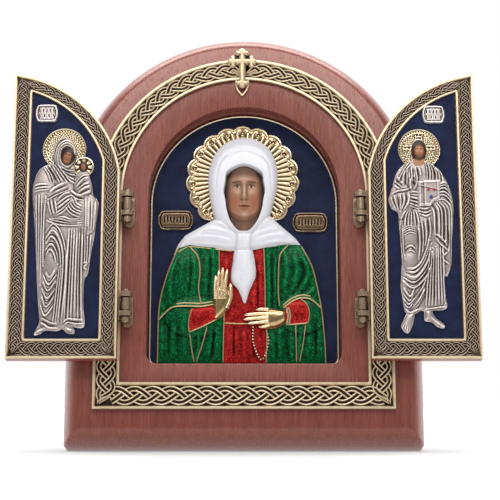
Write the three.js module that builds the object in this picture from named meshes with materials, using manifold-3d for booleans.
// Triptych altarpiece: an arched wooden table icon with an enamelled bust in a window, two hinged wings
// with standing relief figures, and braided brass frames. Millimetres, +Z up.
//
// Everything is drawn on the face of the wooden body: x runs to the viewer's right, z up the face, and
// "front" is how far a point stands out of the face towards the viewer. The finished group leans back
// and stands on its foot, which is cut level, with the middle of its box on the origin.
import * as THREE from 'three';
import { mergeVertices } from 'three/addons/utils/BufferGeometryUtils.js';
import Module from 'manifold-3d';

const wasm = await Module();
wasm.setup();

// ---------------------------------------------------------------- driving dimensions

const LEAN_DEG = 9.5; // the face leans back by this much
const GAP = 0.3; // clearance between pieces that lie against each other

const BODY_HALF = 73.7; // half of the body's overall width
const BODY_DEPTH = 31; // front face to back
const BODY_FOOT_Z = 2.9; // underside of the moulded edge
const ARCH_Z = 105.7; // springing line of the body and of the outer brass edge
const EDGE_WIDTH = 5.8; // quarter-round moulding, across the face
const EDGE_DEPTH = 14.4; // quarter-round moulding, from face to side
const EDGE_CORNER = 2.2; // rounding of the lower corners
const BACK_CHAMFER = 1;

const WINDOW_HALF = 39.8;
const WINDOW_ARCH_Z = 106.3;
const WINDOW_FOOT_Z = 36;
const WINDOW_CORNER = 4.5;
const WINDOW_DEPTH = 12.4;

const FRAME_HALF = 61.2; // outer edge of the brass frame on the body
const FRAME_FOOT_Z = 17.1;
const FRAME_OPEN_HALF = 50.3; // its opening
const FRAME_OPEN_FOOT_Z = 28.1;
const FRAME_OPEN_ARCH_Z = 107.4;
const FRAME_RIM = 1.7; // height of its smooth rims

const CROSS_Z = 165.5; // where the arms cross
const CROSS_ARM = 6.2; // side and upper arms
const CROSS_STEM = 11.9; // lower arm
const CROSS_FRONT = FRAME_RIM + 2 * GAP;
const CROSS_THICK = 1.6;

const PANEL_DEPTH = 2; // plate behind the bust
const PANEL_RIM = 0.7; // wire edge round the plate
const PANEL_FRONT = -WINDOW_DEPTH + GAP + PANEL_DEPTH;

const BUST_BACK = PANEL_FRONT + GAP;
const SAINT_HALO = { x: -0.6, z: 116.9, radius: 24.2, scallops: 20, thick: 0.7, relief: 1 };

const PIN_X = 48; // hinge pins stand this far from the middle
const PIN_FRONT = 7; // and this far in front of the face
const HINGE_TOPS = { upper: 107.4, lower: 65.1 };

const WING_WIDTH = 44.6;
const WING_EDGE_X = 51.15; // hinge-side edge when open
const WING_FOOT_Z = 36.3;
const WING_BACK = 2.8;
const WING_BOARD = 4.8; // thickness of the wooden board
const WING_RIM = 1.5; // height of the brass rims
const WING_ARC = { beyond: 6, z: 106.2, radius: 51.4 }; // centre lies past the free edge: a pointed arch
const WING_BORDER = { side: 7.4, foot: 8.1, radius: 45.3 }; // brass border round the blue field
const FIELD_THICK = 0.5;
const FIELD_FRONT = WING_BACK + WING_BOARD + GAP + FIELD_THICK;
const FIGURE_BACK = FIELD_FRONT + GAP;
const FIGURE_COLUMNS = 10;

// ---------------------------------------------------------------- materials

const FINISHES = {
  wood: { color: 0x8c4a42, roughness: 0.55, metalness: 0 },
  antique_brass: { color: 0x9a7f52, roughness: 0.38, metalness: 0.9 },
  gilded_metal: { color: 0xd8b25c, roughness: 0.28, metalness: 1 },
  silver_relief: { color: 0xb4aaa6, roughness: 0.38, metalness: 0.9 },
  blue_velvet: { color: 0x121b3c, roughness: 0.95, metalness: 0 },
  enamel: { color: 0x0b5a36, roughness: 0.25, metalness: 0.2 },
};

// ---------------------------------------------------------------- small helpers

const lerp = THREE.MathUtils.lerp;
const radians = THREE.MathUtils.degToRad;
const steps = (count) => [...Array(count).keys()];

// Straight run from a to b, without its last point, so that runs can be chained.
function run(a, b, count) {
  return steps(count).map((i) => [lerp(a[0], b[0], i / count), lerp(a[1], b[1], i / count)]);
}

// Arc about (x, z), again without its last point.
function arc(x, z, radius, fromDeg, toDeg, count) {
  return steps(count).map((i) => {
    const angle = radians(lerp(fromDeg, toDeg, i / count));
    return [x + radius * Math.cos(angle), z + radius * Math.sin(angle)];
  });
}

// A half-ellipse bump: [x, z, half width, half height, rise].
function dome(x, z, [cx, cz, rx, rz, rise]) {
  const inside = 1 - ((x - cx) / rx) ** 2 - ((z - cz) / rz) ** 2;
  return rise * Math.sqrt(Math.max(0, inside));
}

// Reads a side outline, a list of [z, x] from foot to head, at height z.
function outlineAt(stops, z) {
  const next = stops.findIndex(([stopZ]) => stopZ >= z);
  if (next <= 0) return stops.at(next === 0 ? 0 : -1)[1];
  const [z0, x0] = stops[next - 1];
  const [z1, x1] = stops[next];
  return lerp(x0, x1, (z - z0) / (z1 - z0));
}

// ---------------------------------------------------------------- closed meshes

function signedVolume(points, faces) {
  const corner = faces.map((face) => face.map((i) => new THREE.Vector3(...points[i])));
  return corner.reduce((sum, [a, b, c]) => sum + a.dot(b.cross(c)) / 6, 0);
}

// Points are [x, z, front]; the faces are turned outwards whatever order they came in.
function closedMesh(faceFramePoints, faces) {
  const points = faceFramePoints.map(([x, z, front]) => [x, -front, z]);
  const outward = signedVolume(points, faces) > 0 ? faces : faces.map(([a, b, c]) => [a, c, b]);
  const geometry = new THREE.BufferGeometry();
  geometry.setAttribute('position', new THREE.Float32BufferAttribute(points.flat(), 3));
  geometry.setIndex(outward.flat());
  return geometry;
}

// Triangles that fill a ring of points, wound the way the ring runs.
function fillRing(ring, firstIndex) {
  const contour = ring.map(([x, z]) => new THREE.Vector2(x, z));
  const turn = Math.sign(THREE.ShapeUtils.area(contour));
  return THREE.ShapeUtils.triangulateShape(contour, []).map((face) => {
    const same = Math.sign(THREE.ShapeUtils.area(face.map((i) => contour[i]))) === turn;
    return (same ? face : [...face].reverse()).map((i) => i + firstIndex);
  });
}

// Quads between each ring and the next; the last ring meets the first when the loft is joined.
function loftSides(rings, joined) {
  const size = rings[0].length;
  const spans = joined ? rings.length : rings.length - 1;
  return steps(spans).flatMap((r) => steps(size).flatMap((i) => {
    const next = (i + 1) % size;
    const here = r * size;
    const there = ((r + 1) % rings.length) * size;
    return [[here + i, here + next, there + next], [here + i, there + next, there + i]];
  }));
}

function loft(rings) {
  const lastStart = (rings.length - 1) * rings[0].length;
  const firstCap = fillRing(rings[0], 0).map((face) => [...face].reverse());
  const lastCap = fillRing(rings.at(-1), lastStart);
  return closedMesh(rings.flat(), [...loftSides(rings, false), ...firstCap, ...lastCap]);
}

const ringAt = (outline, front) => outline.map(([x, z]) => [x, z, front]);
const prism = (outline, back, front) => loft([ringAt(outline, back), ringAt(outline, front)]);

// ---------------------------------------------------------------- joining and cutting

function toManifold(geometry) {
  const bare = geometry.clone();
  bare.deleteAttribute('normal');
  bare.deleteAttribute('uv');
  const merged = mergeVertices(bare, 1e-4);
  const vertProperties = new Float32Array(merged.attributes.position.array);
  const triVerts = new Uint32Array(merged.index.array);
  return new wasm.Manifold(new wasm.Mesh({ numProp: 3, vertProperties, triVerts }));
}

function fromManifold(solid) {
  const mesh = solid.getMesh();
  const geometry = new THREE.BufferGeometry();
  geometry.setAttribute('position', new THREE.Float32BufferAttribute(mesh.vertProperties, 3));
  geometry.setIndex([...mesh.triVerts]);
  return geometry;
}

const joined = (...parts) => fromManifold(parts.map(toManifold).reduce((all, part) => all.add(part)));
const cut = (part, ...tools) => fromManifold(tools.map(toManifold)
  .reduce((rest, tool) => rest.subtract(tool), toManifold(part)));

// A block between two corners given as [x, z, front].
function block(low, high) {
  const size = high.map((value, axis) => value - low[axis]);
  const middle = high.map((value, axis) => (value + low[axis]) / 2);
  const geometry = new THREE.BoxGeometry(size[0], size[2], size[1]);
  return geometry.translate(middle[0], -middle[2], middle[1]);
}

// An upright round bar from z0 to z1.
function upright(x, front, radius, z0, z1, sides = 8) {
  const geometry = new THREE.CylinderGeometry(radius, radius, z1 - z0, sides);
  return geometry.rotateX(Math.PI / 2).translate(x, -front, (z0 + z1) / 2);
}

// A disc that lies on the face, from back to front.
function disc(x, z, radius, back, front, sides = 32) {
  return prism(arc(x, z, radius, 0, 360, sides), back, front);
}

// ---------------------------------------------------------------- wooden body and panel

// Arched outline, anticlockwise from the lower left corner. Its arch is a half circle of its width.
function archOutline({ half, footZ, archZ, corner, arcSteps = 32 }) {
  const inner = half - corner;
  const cornerSteps = 3;
  return [
    [-inner, footZ],
    ...arc(inner, footZ + corner, corner, -90, 0, cornerSteps),
    [half, footZ + corner],
    ...arc(0, archZ, half, 0, 180, arcSteps),
    [-half, archZ],
    ...arc(-inner, footZ + corner, corner, 180, 270, cornerSteps),
  ];
}

function bodyRing(inset, front) {
  const corner = Math.max(EDGE_CORNER - inset, GAP);
  const outline = archOutline({ half: BODY_HALF - inset, footZ: BODY_FOOT_Z + inset, archZ: ARCH_Z, corner });
  return ringAt(outline, front);
}

function windowOutline(inset) {
  return archOutline({
    half: WINDOW_HALF - inset,
    footZ: WINDOW_FOOT_Z + inset,
    archZ: WINDOW_ARCH_Z,
    corner: WINDOW_CORNER - inset,
    arcSteps: 24,
  });
}

function woodBody() {
  const curveSteps = 5;
  const moulding = steps(curveSteps + 1).map((i) => {
    const angle = (i / curveSteps) * (Math.PI / 2);
    return bodyRing(EDGE_WIDTH * (1 - Math.sin(angle)), -EDGE_DEPTH * (1 - Math.cos(angle)));
  });
  const back = [bodyRing(0, BACK_CHAMFER - BODY_DEPTH), bodyRing(BACK_CHAMFER, -BODY_DEPTH)];
  const window = prism(windowOutline(0), -WINDOW_DEPTH, 1);
  const belowFloor = new THREE.BoxGeometry(300, 200, 60).translate(0, 0, -30).rotateX(radians(LEAN_DEG));
  return cut(loft([...moulding, ...back]), window, belowFloor);
}

// Thin plate that fills the window, with a raised wire edge.
function iconPanel() {
  const wire = 0.8;
  const rings = [
    ringAt(windowOutline(GAP + 0.1), PANEL_FRONT - PANEL_DEPTH),
    ringAt(windowOutline(GAP + 0.1), PANEL_FRONT + PANEL_RIM / 2),
    ringAt(windowOutline(GAP + 0.1 + wire / 2), PANEL_FRONT + PANEL_RIM),
    ringAt(windowOutline(GAP + 0.1 + wire), PANEL_FRONT),
  ];
  return loft(rings);
}

// ---------------------------------------------------------------- braided brass frames

// Cross-section of a braided band as [place across, height]: smooth rims with a plait between them,
// whose outer and inner strands rise in turn from one step to the next.
function braidSection(step, rim) {
  const outerUp = step % 2 === 0;
  const high = rim * 0.9;
  const low = rim * 0.45;
  return [
    [0, 0], [0.06, rim], [0.2, low],
    [outerUp ? 0.34 : 0.42, outerUp ? high : low],
    [outerUp ? 0.58 : 0.66, outerUp ? low : high],
    [0.8, low], [0.94, rim], [1, 0],
  ];
}

// A closed band between an outer and an inner outline that have the same number of points.
function braidedBand(outer, inner, back, rim) {
  const rings = outer.map(([x, z], i) => braidSection(i, rim).map(([across, height]) => [
    lerp(x, inner[i][0], across), lerp(z, inner[i][1], across), back + height]));
  return closedMesh(rings.flat(), loftSides(rings, true));
}

function frameOutline(half, footZ, archZ) {
  return [
    ...run([-half, footZ], [half, footZ], 20),
    ...run([half, footZ], [half, archZ], 14),
    ...arc(0, archZ, half, 0, 180, 32),
    ...run([-half, archZ], [-half, footZ], 14),
  ];
}

// Pointed drop that hangs from the crown of the frame, round the foot of the cross.
function dropOutline(half, topZ, tipZ) {
  const centreZ = topZ - half;
  return [...arc(0, centreZ, half, -20, 200, 12), [-half * 0.55, (centreZ + tipZ) / 2 - half * 0.2],
    [0, tipZ], [half * 0.55, (centreZ + tipZ) / 2 - half * 0.2]];
}

function frontFrame() {
  const outer = frameOutline(FRAME_HALF, FRAME_FOOT_Z, ARCH_Z);
  const inner = frameOutline(FRAME_OPEN_HALF, FRAME_OPEN_FOOT_Z, FRAME_OPEN_ARCH_Z);
  const crownZ = FRAME_OPEN_ARCH_Z + FRAME_OPEN_HALF;
  const dropHalf = 3;
  const wire = 0.9;
  const tipZ = crownZ - 7.8;
  const drop = prism(dropOutline(dropHalf, crownZ + 1.5, tipZ), GAP, GAP + FRAME_RIM);
  const hole = prism(dropOutline(dropHalf - wire, crownZ + 1.5 - wire, tipZ + 2 * wire), 0, CROSS_FRONT);
  const band = braidedBand(outer, inner, GAP, FRAME_RIM);
  return joined(band, cut(drop, hole));
}

// ---------------------------------------------------------------- cross

// Half outline of one arm with a pointed trefoil end, as [along, half width].
function armProfile(length) {
  return [[length - 2.5, 1.15], [length - 2.4, 2.1], [length - 1.5, 2.5], [length - 0.9, 1.3], [length, 0.25]];
}

function crossOutline() {
  const waist = 1.3;
  const arms = [CROSS_ARM, CROSS_ARM, CROSS_ARM, CROSS_STEM]; // right, up, left, down
  return arms.flatMap((length, quarter) => {
    const profile = armProfile(length);
    const near = profile.map(([along, half]) => [along, -half]);
    const far = [...profile].reverse();
    const corner = [waist, waist];
    const angle = quarter * (Math.PI / 2);
    return [...near, ...far, corner].map(([along, side]) => [
      along * Math.cos(angle) - side * Math.sin(angle),
      along * Math.sin(angle) + side * Math.cos(angle) + CROSS_Z]);
  });
}

// Bevelled slab: its front outline is drawn in a little.
function trefoilCross() {
  const outline = crossOutline();
  const shrunk = outline.map(([x, z]) => [x * 0.9, CROSS_Z + (z - CROSS_Z) * 0.93]);
  return loft([
    ringAt(outline, CROSS_FRONT),
    ringAt(shrunk, CROSS_FRONT + CROSS_THICK),
  ]);
}

// ---------------------------------------------------------------- halos and cartouches

// Scalloped disc with rounded ribs that run out from the head.
function scallopedHalo({ x, z, radius, scallops, thick, relief }, back) {
  const perScallop = 3;
  const count = scallops * perScallop;
  const ring = (share, height) => steps(count).map((i) => {
    const phase = (i % perScallop) / perScallop;
    const bulge = 1 + 0.04 * Math.sin(Math.PI * phase);
    const rise = height(phase);
    const angle = (i / count) * 2 * Math.PI;
    return [x + radius * share * bulge * Math.cos(angle), z + radius * share * bulge * Math.sin(angle), back + rise];
  });
  const rib = (phase) => thick + relief * (phase === 0 ? 0 : 0.6);
  const rim = (phase) => thick + relief * (phase === 0 ? 0.3 : 0.9);
  return loft([
    ring(0.965, () => 0), ring(0.965, rim), ring(0.86, () => thick), ring(0.8, rib), ring(0.6, rib),
  ]);
}

// Round halo with a raised rim. A second halo that stands in front takes a bite out of it.
function figureHalo({ x, z, radius }, other) {
  const thick = 0.5;
  const ring = (share, height) => ringAt(arc(x, z, radius * share, 0, 360, 18), FIGURE_BACK + height);
  const halo = loft([ring(1, 0), ring(1, thick), ring(0.94, thick + 0.4), ring(0.86, thick)]);
  if (!other) return halo;
  return cut(halo, disc(other.x, other.z, other.radius + GAP, FIGURE_BACK - 1, FIGURE_BACK + 2, 24));
}

// Bracket-shaped plaque: a long bar with drawn-in corners and a raised edge.
function cartouche({ x, z, width, height }, back) {
  const nick = height * 0.22;
  const outline = (inset) => {
    const w = width / 2 - inset;
    const h = height / 2 - inset;
    return [[-w + nick, -h], [w - nick, -h], [w - nick, -h + nick], [w, -h + nick], [w, h - nick],
      [w - nick, h - nick], [w - nick, h], [-w + nick, h], [-w + nick, h - nick], [-w, h - nick],
      [-w, -h + nick], [-w + nick, -h + nick]].map(([dx, dz]) => [x + dx, z + dz]);
  };
  return loft([
    ringAt(outline(0), back), ringAt(outline(0.2), back + 0.9), ringAt(outline(0.9), back + 0.5),
  ]);
}

// ---------------------------------------------------------------- relief figures

// Raised relief on a flat back, in rows from foot to head between two side outlines.
function relief({ footZ, headZ, left, right, height, back, edge, rows, columns }) {
  const width = columns + 1;
  const rowZ = (r) => lerp(footZ, headZ, r / rows);
  const points = steps(rows + 1).flatMap((r) => steps(width).map((c) => {
    const z = rowZ(r);
    const x = lerp(outlineAt(left, z), outlineAt(right, z), c / columns);
    return [x, z, back + edge + height(x, z, (2 * c) / columns - 1)];
  }));
  const front = steps(rows).flatMap((r) => steps(columns).flatMap((c) => {
    const a = r * width + c;
    return [[a, a + 1, a + width + 1], [a, a + width + 1, a + width]];
  }));
  // The rim runs along the foot, up the right side, back along the head and down the left side.
  const rim = [
    ...steps(columns).map((c) => c),
    ...steps(rows).map((r) => r * width + columns),
    ...steps(columns).map((c) => rows * width + columns - c),
    ...steps(rows).map((r) => (rows - r) * width),
  ];
  const rimBack = rim.map((i) => [points[i][0], points[i][1], back]);
  const start = points.length;
  const walls = rim.flatMap((top, i) => {
    const next = (i + 1) % rim.length;
    return [[start + i, start + next, rim[next]], [start + i, rim[next], top]];
  });
  const backFaces = reliefBack(rows, columns).map((face) => [...face].reverse().map((i) => start + i));
  return closedMesh([...points, ...rimBack], [...front, ...walls, ...backFaces]);
}

// Flat back of a relief: a strip across each row, with fans at the foot and the head.
function reliefBack(rows, columns) {
  const onRight = (r) => columns + r;
  const onLeft = (r) => (2 * (columns + rows) - r) % (2 * (columns + rows));
  const foot = steps(columns).map((c) => [c, c + 1, onLeft(1)]);
  const head = steps(columns).map((c) => [onLeft(rows - 1), columns + rows + c, columns + rows + c + 1]);
  const middle = steps(rows - 2).flatMap((i) => {
    const r = i + 1;
    return [[onLeft(r), onRight(r), onRight(r + 1)], [onLeft(r), onRight(r + 1), onLeft(r + 1)]];
  });
  return [...foot, [onRight(0), onRight(1), onLeft(1)], ...middle,
    [onLeft(rows - 1), onRight(rows - 1), onRight(rows)], ...head];
}

const roundness = (across) => Math.sqrt(Math.max(0, 1 - across ** 2));
// Hanging folds: every second column of the relief stands proud of its neighbours.
const pleats = (across, columns, depth) => depth * Math.cos((Math.PI * columns * (across + 1)) / 2);

// Bust: kerchief tied under the chin, mantle over a dress, one palm raised and one hand laid across.
const BUST = {
  left: [[36.4, -35.6], [56, -35.4], [65.5, -34.5], [75.8, -31.6], [84, -28.4], [88, -27.5], [92, -24],
    [95.5, -18.2], [98.8, -12.3], [105, -13.5], [111, -14.8], [117.6, -15.2], [124, -13.9],
    [130.5, -9.3], [133.6, -3]],
  right: [[36.4, 33.7], [48.6, 33.2], [61, 31.9], [70.5, 30.2], [79, 28], [87.3, 24.2], [91, 21],
    [95.3, 16.3], [100.5, 10.9], [105, 12], [111, 13.9], [117.6, 14.3], [124, 13.5], [130, 10.2], [133.6, 4]],
  columns: 18,
  chinZ: 96,
  dressTopZ: 85.5,
  dress: [-8.5, 8.7],
  headRise: 2,
  head: [0, 115.5, 14.5, 19.5, 3],
  opening: [0.2, 108.3, 7.4, 13.4, 1],
  face: [0.2, 107.4, 7, 12.6, 2.6],
  nose: [0.2, 107, 2.2, 5, 1],
  tie: [0, 76, 5.4, 13, 4.2],
  knot: [-0.5, 90, 4.8, 5, 4.6],
  palm: [-8.7, 66.8, 4.4, 11.8, 4.8],
  hand: [8.4, 56.4, 9.4, 4.8, 4.8],
  sleeves: [[-20, 57, 13, 8, 3.8], [24, 58.5, 10.5, 8.5, 3.8]],
  headZ: 133.6,
};

// The head stands clear of the halo behind it; the dress lies lower than the mantle that opens over it.
function bustHeight(x, z, across) {
  const inHead = z > BUST.chinZ;
  const dress = z < BUST.dressTopZ && x > BUST.dress[0] && x < BUST.dress[1];
  const mantle = (dress ? 0.9 : 1.9) * roundness(across) + pleats(across, BUST.columns, 0.35);
  const kerchief = BUST.headRise + dome(x, z, BUST.head);
  const opening = dome(x, z, BUST.opening) > 0;
  const face = BUST.headRise - 0.5 + dome(x, z, BUST.face) + dome(x, z, BUST.nose);
  const shoulders = z > BUST.dressTopZ && !inHead ? BUST.headRise + roundness(across) : 0;
  const raised = [BUST.tie, BUST.knot, BUST.palm, BUST.hand, ...BUST.sleeves];
  const cloth = inHead ? kerchief : Math.max(0.1, mantle, shoulders);
  return opening ? face : Math.max(cloth, ...raised.map((bump) => dome(x, z, bump)));
}

function saintBust() {
  const body = relief({
    footZ: WINDOW_FOOT_Z + 1.6, headZ: BUST.headZ, left: BUST.left, right: BUST.right,
    height: bustHeight, back: BUST_BACK, edge: 0.8, rows: 34, columns: BUST.columns,
  });
  const seatTop = BUST_BACK + SAINT_HALO.thick + SAINT_HALO.relief + GAP / 2;
  const seat = disc(SAINT_HALO.x, SAINT_HALO.z, SAINT_HALO.radius + 2 * GAP, BUST_BACK - 1, seatTop);
  return cut(body, seat);
}

// Figure in long robes who carries a child on one arm. x is measured from the middle of the wing.
const MOTHER = {
  left: [[46, -10.2], [49.5, -9.6], [52, -8.8], [64, -9.7], [68.2, -10.4], [93.4, -12.2], [105.3, -13.4],
    [111.8, -12.4], [115.6, -10.5], [118.4, -6.4], [122, -5], [126, -4], [128.7, -1.6]],
  right: [[46, 5.2], [49.5, 9], [68.2, 8.7], [71.5, 10.1], [80.7, 11.3], [86.6, 12.3], [97.6, 13.5],
    [101.5, 13.6], [104.5, 11.5], [108.3, 11], [113.5, 9.6], [116.5, 9.8], [118.6, 8.5], [120.4, 5.2],
    [124, 4], [128.7, 1.6]],
  halos: [{ x: -0.8, z: 124.2, radius: 9.1 }, { x: 7.4, z: 116.2, radius: 4 }],
  bumps: [[-0.6, 122.3, 4.4, 6.6, 2.6], [7.4, 116.4, 2.3, 2.7, 2.3], [6, 107, 5, 6.5, 2.2],
    [-8.4, 103, 4.5, 10, 1.9], [2, 99, 8, 3.2, 2.3], [-5, 72, 4.5, 11, 1.5]],
  headZ: 128.7,
};

// Bearded figure who blesses with one hand and holds a closed book in the other.
const TEACHER = {
  left: [[46.4, -7.8], [54, -7.6], [56, -8.9], [66, -10], [75.7, -9.4], [85, -9.9], [96, -10.6],
    [101.9, -14.1], [106.2, -13.1], [113.9, -10.5], [117.6, -7.6], [119.6, -4.7], [123.4, -4.8],
    [127, -3.6], [129.1, -1.6]],
  right: [[46.4, 5.8], [56, 8], [69, 7.8], [74.4, 10.8], [97.6, 12.3], [104, 11.7], [111.3, 9.5],
    [116.5, 6], [119.6, 2.4], [123.4, 2.4], [127, 1.7], [129.1, 0]],
  halos: [{ x: -1, z: 124.3, radius: 8.8 }],
  bumps: [[-1.1, 122.6, 3.6, 6.6, 2.6], [-4.5, 110.5, 2, 4, 2.4], [3.4, 107.5, 4.8, 5.6, 2.4],
    [-9, 103, 4, 8, 1.9], [8.4, 100, 4, 9, 1.9], [2, 90, 9, 5, 1.7], [-4.5, 72, 4, 12, 1.5]],
  headZ: 129.1,
};

function standingFigure(figure, middleX) {
  const shifted = (stops) => stops.map(([z, x]) => [z, x + middleX]);
  const height = (x, z, across) => {
    const u = x - middleX;
    const robe = z < 113 ? 1.1 * roundness(across) + pleats(across, FIGURE_COLUMNS, 0.35) : 1.2;
    return Math.max(0.1, robe, ...figure.bumps.map((bump) => dome(u, z, bump)));
  };
  const solid = relief({
    footZ: 46.2, headZ: figure.headZ, left: shifted(figure.left), right: shifted(figure.right),
    height, back: FIGURE_BACK, edge: 0.5, rows: 28, columns: FIGURE_COLUMNS,
  });
  const seats = figure.halos.map(({ x, z, radius }) => (
    disc(x + middleX, z, radius + GAP, FIGURE_BACK - 1, FIGURE_BACK + 1.2, 24)));
  return cut(solid, ...seats);
}

// ---------------------------------------------------------------- wings

// Wing outline from its hinge-side lower corner, inset to the border's inner edge when asked.
// Distances run from the free edge towards the hinge; side is -1 for the left wing, 1 for the right.
function wingOutline(side, border) {
  const near = border ? WING_BORDER.side : 0;
  const far = WING_WIDTH - near;
  const footZ = WING_FOOT_Z + (border ? WING_BORDER.foot : 0);
  const radius = border ? WING_BORDER.radius : WING_ARC.radius;
  const angleAt = (fromEdge) => THREE.MathUtils.radToDeg(Math.acos((fromEdge + WING_ARC.beyond) / radius));
  const shoulderZ = WING_ARC.z + radius * Math.sin(radians(angleAt(far)));
  const tipZ = WING_ARC.z + radius * Math.sin(radians(angleAt(near)));
  const outline = [
    ...run([near, footZ], [far, footZ], 8),
    ...run([far, footZ], [far, shoulderZ], 12),
    ...arc(-WING_ARC.beyond, WING_ARC.z, radius, angleAt(far), angleAt(near), 12),
    ...run([near, tipZ], [near, footZ], 20),
  ];
  return outline.map(([fromEdge, z]) => [side * (WING_EDGE_X + WING_WIDTH - fromEdge), z]);
}

// Every nth point and the corners are enough for a plain board.
function plainOutline(outline) {
  const straight = 3;
  return outline.filter((point, i) => {
    const before = outline.at(i - 1);
    const after = outline[(i + 1) % outline.length];
    const bend = (point[0] - before[0]) * (after[1] - point[1]) - (point[1] - before[1]) * (after[0] - point[0]);
    return Math.abs(bend) > 10 ** -straight;
  });
}

function wingBoard(side) {
  return prism(plainOutline(wingOutline(side, false)), WING_BACK, WING_BACK + WING_BOARD);
}

function wingFrame(side) {
  const back = WING_BACK + WING_BOARD + GAP;
  return braidedBand(wingOutline(side, false), wingOutline(side, true), back, WING_RIM);
}

// The field is drawn in from the border by the gap, about its own middle.
function wingField(side) {
  const outline = plainOutline(wingOutline(side, true));
  const middle = [side * (WING_EDGE_X + WING_WIDTH / 2), 95];
  const scale = 1 - 0.04;
  const drawnIn = outline.map(([x, z]) => [lerp(middle[0], x, scale), lerp(middle[1], z, scale + 0.028)]);
  return prism(drawnIn, FIELD_FRONT - FIELD_THICK, FIELD_FRONT);
}

// ---------------------------------------------------------------- hinges

// From the top of a hinge down: wing arm, barrel on the body's leaf, wing arm, lower knuckle, leaf end.
const HINGE = {
  arms: [[0, 2.2], [8.1, 10.2]],
  knuckles: [[2.5, 7.8], [10.5, 12.8]],
  leafHalf: 2.3,
  leafThick: 0.8,
  leafEnd: 15.9,
  webHalf: 1.3,
  barrel: 1.75,
  arm: 2.7,
  bore: 1,
  pin: 0.68,
};

function leafOutline(x, topZ) {
  const low = topZ - HINGE.leafEnd + HINGE.leafHalf;
  return [...arc(x, low, HINGE.leafHalf, 180, 360, 5), [x + HINGE.leafHalf, low],
    [x + HINGE.leafHalf, topZ - 1], [x - HINGE.leafHalf, topZ - 1]];
}

function bodyHinge(side, topZ) {
  const x = side * PIN_X;
  const leafX = x + side * -0.5;
  const leaf = prism(leafOutline(leafX, topZ), GAP, GAP + HINGE.leafThick);
  const knuckles = HINGE.knuckles.flatMap(([top, bottom]) => [
    block([x - HINGE.webHalf, topZ - bottom, GAP + HINGE.leafThick / 2], [x + HINGE.webHalf, topZ - top, PIN_FRONT]),
    upright(x, PIN_FRONT, HINGE.barrel, topZ - bottom, topZ - top),
  ]);
  const bore = upright(x, PIN_FRONT, HINGE.bore, topZ - HINGE.leafEnd, topZ + 2, 6);
  return cut(joined(leaf, ...knuckles), bore);
}

function wingHinge(side, topZ) {
  const x = side * PIN_X;
  const plateThick = 0.5;
  const outer = WING_EDGE_X - GAP;
  const inner = outer - plateThick;
  const bar = (nearX, farX, bottom, top, half) => block(
    [Math.min(side * nearX, side * farX), topZ - bottom, PIN_FRONT - half],
    [Math.max(side * nearX, side * farX), topZ - top, PIN_FRONT + Math.min(half, 1.9)]);
  const plate = bar(inner, outer, 12, -0.6, 3);
  const arms = HINGE.arms.flatMap(([top, bottom]) => [
    bar(PIN_X, outer - plateThick / 2, bottom, top, 1.7),
    upright(x, PIN_FRONT, HINGE.arm, topZ - bottom, topZ - top),
  ]);
  const bore = upright(x, PIN_FRONT, HINGE.bore, topZ - HINGE.leafEnd, topZ + 2, 6);
  return cut(joined(plate, ...arms), bore);
}

function hingePin(side, topZ) {
  const lower = -HINGE.knuckles[1][1] - 0.2;
  const profile = [[0, lower], [HINGE.pin, lower], [HINGE.pin, GAP], [1.3, GAP], [1, 1.1], [0, 1.1]];
  const geometry = new THREE.LatheGeometry(profile.map(([r, z]) => new THREE.Vector2(r, z)), 7);
  return geometry.rotateX(Math.PI / 2).translate(side * PIN_X, -PIN_FRONT, topZ);
}

// ---------------------------------------------------------------- assembly

const altarpiece = new THREE.Group();
const leaning = new THREE.Group();
leaning.rotation.x = -radians(LEAN_DEG);
altarpiece.add(leaning);

function add(name, geometry, finish) {
  const mesh = new THREE.Mesh(geometry, new THREE.MeshStandardMaterial(FINISHES[finish]));
  mesh.name = name;
  leaning.add(mesh);
}

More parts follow.
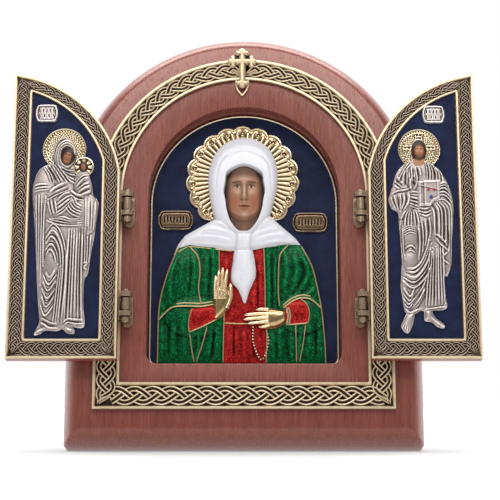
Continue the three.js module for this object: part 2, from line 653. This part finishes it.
add('wood_body', woodBody(), 'wood');
add('front_frame', frontFrame(), 'antique_brass');
add('cross', trefoilCross(), 'antique_brass');
add('icon_panel', iconPanel(), 'blue_velvet');
add('saint_halo', scallopedHalo(SAINT_HALO, BUST_BACK), 'gilded_metal');
add('saint_bust', saintBust(), 'enamel');
add('saint_cartouche_left', cartouche({ x: -28.8, z: 99, width: 15.2, height: 8.6 }, BUST_BACK), 'gilded_metal');
add('saint_cartouche_right', cartouche({ x: 27.8, z: 98.1, width: 15.2, height: 8.6 }, BUST_BACK), 'gilded_metal');

const WINGS = [
  { name: 'left', side: -1, figure: MOTHER, figureName: 'mother_and_child', cartouche: { x: -8.6, z: 140 } },
  { name: 'right', side: 1, figure: TEACHER, figureName: 'blessing_teacher', cartouche: { x: 5.4, z: 139.6 } },
];

for (const wing of WINGS) {
  const middleX = wing.side * (WING_EDGE_X + WING_WIDTH / 2);
  add(`wing_board_${wing.name}`, wingBoard(wing.side), 'wood');
  add(`wing_frame_${wing.name}`, wingFrame(wing.side), 'antique_brass');
  add(`wing_field_${wing.name}`, wingField(wing.side), 'blue_velvet');
  add(`figure_${wing.figureName}`, standingFigure(wing.figure, middleX), 'silver_relief');
  const [halo, childHalo] = wing.figure.halos.map(({ x, z, radius }) => ({ x: x + middleX, z, radius }));
  add(`figure_halo_${wing.name}`, figureHalo(halo, childHalo), 'gilded_metal');
  if (childHalo) add('child_halo', figureHalo(childHalo), 'gilded_metal');
  const plaque = { x: middleX + wing.cartouche.x, z: wing.cartouche.z, width: 9.2, height: 6.6 };
  add(`wing_cartouche_${wing.name}`, cartouche(plaque, FIGURE_BACK), 'silver_relief');
  for (const [level, topZ] of Object.entries(HINGE_TOPS)) {
    add(`hinge_leaf_${wing.name}_${level}`, bodyHinge(wing.side, topZ), 'antique_brass');
    add(`hinge_arms_${wing.name}_${level}`, wingHinge(wing.side, topZ), 'antique_brass');
    add(`hinge_pin_${wing.name}_${level}`, hingePin(wing.side, topZ), 'antique_brass');
  }
}

// The level foot already lies on z = 0; the whole is moved so that its box is centred fore and aft.
const bounds = new THREE.Box3().setFromObject(altarpiece, true);
leaning.position.y = -(bounds.min.y + bounds.max.y) / 2;

export default altarpiece;
